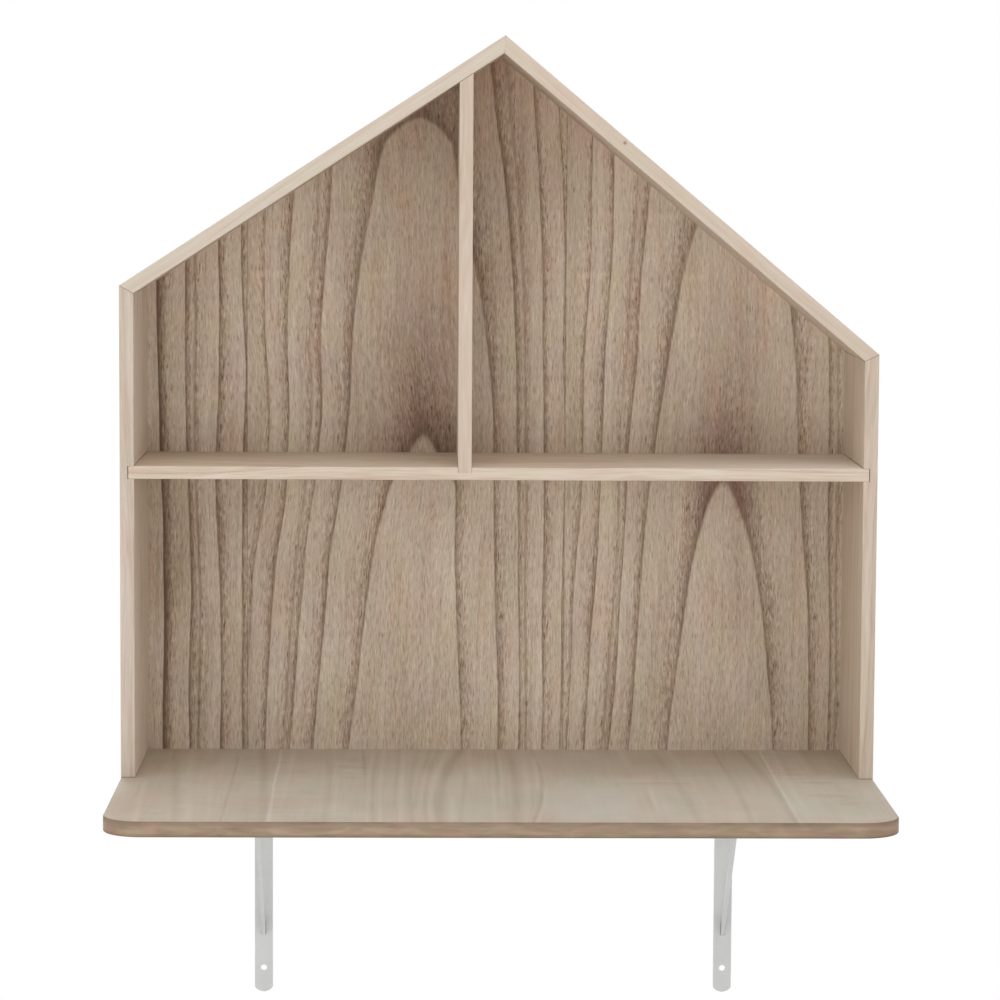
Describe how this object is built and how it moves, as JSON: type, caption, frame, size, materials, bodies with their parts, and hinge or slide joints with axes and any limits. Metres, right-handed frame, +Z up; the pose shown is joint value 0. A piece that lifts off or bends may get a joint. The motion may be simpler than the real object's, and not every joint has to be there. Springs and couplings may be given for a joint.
{
  "type": "wall shelf with desk board",
  "caption": "House-shaped open wall shelf on a desk board with rounded corners, carried by braced steel brackets, with a shelf, a divider and a veneered back, for a child's room.",
  "frame": {"origin": "on the wall plane, in the middle of the four wall holes of the two brackets", "axes": "+X to the right as one faces the shelf, +Y into the wall, +Z up"},
  "size_m": [0.8, 0.45, 1.06],
  "materials": {
    "solid_paulownia": "bare, sanded",
    "paulownia_veneer": "matt oil",
    "edge_glued_paulownia": "matt oil",
    "beech": "bare",
    "grey_coated_steel": "satin",
    "zinc_plated_screws": "zinc"
  },
  "bodies": {
    "root": {"left_side_panel": "solid_paulownia", "right_side_panel": "solid_paulownia", "left_roof_panel": "solid_paulownia", "right_roof_panel": "solid_paulownia", "shelf_board": "solid_paulownia", "divider_board": "solid_paulownia", "back_panel": "paulownia_veneer", "desk_board": "edge_glued_paulownia", "left_eave_spline": "beech", "ridge_spline": "beech", "right_eave_spline": "beech", "left_foot_dowels": "beech", "right_foot_dowels": "beech", "divider_dowels": "beech", "left_bracket_strap": "grey_coated_steel", "right_bracket_strap": "grey_coated_steel", "left_bracket_brace": "grey_coated_steel", "right_bracket_brace": "grey_coated_steel", "left_foot_screws": "zinc_plated_screws", "right_foot_screws": "zinc_plated_screws", "back_panel_screws": "zinc_plated_screws", "left_bracket_screws": "zinc_plated_screws", "right_bracket_screws": "zinc_plated_screws"}
  },
  "joints": []
}
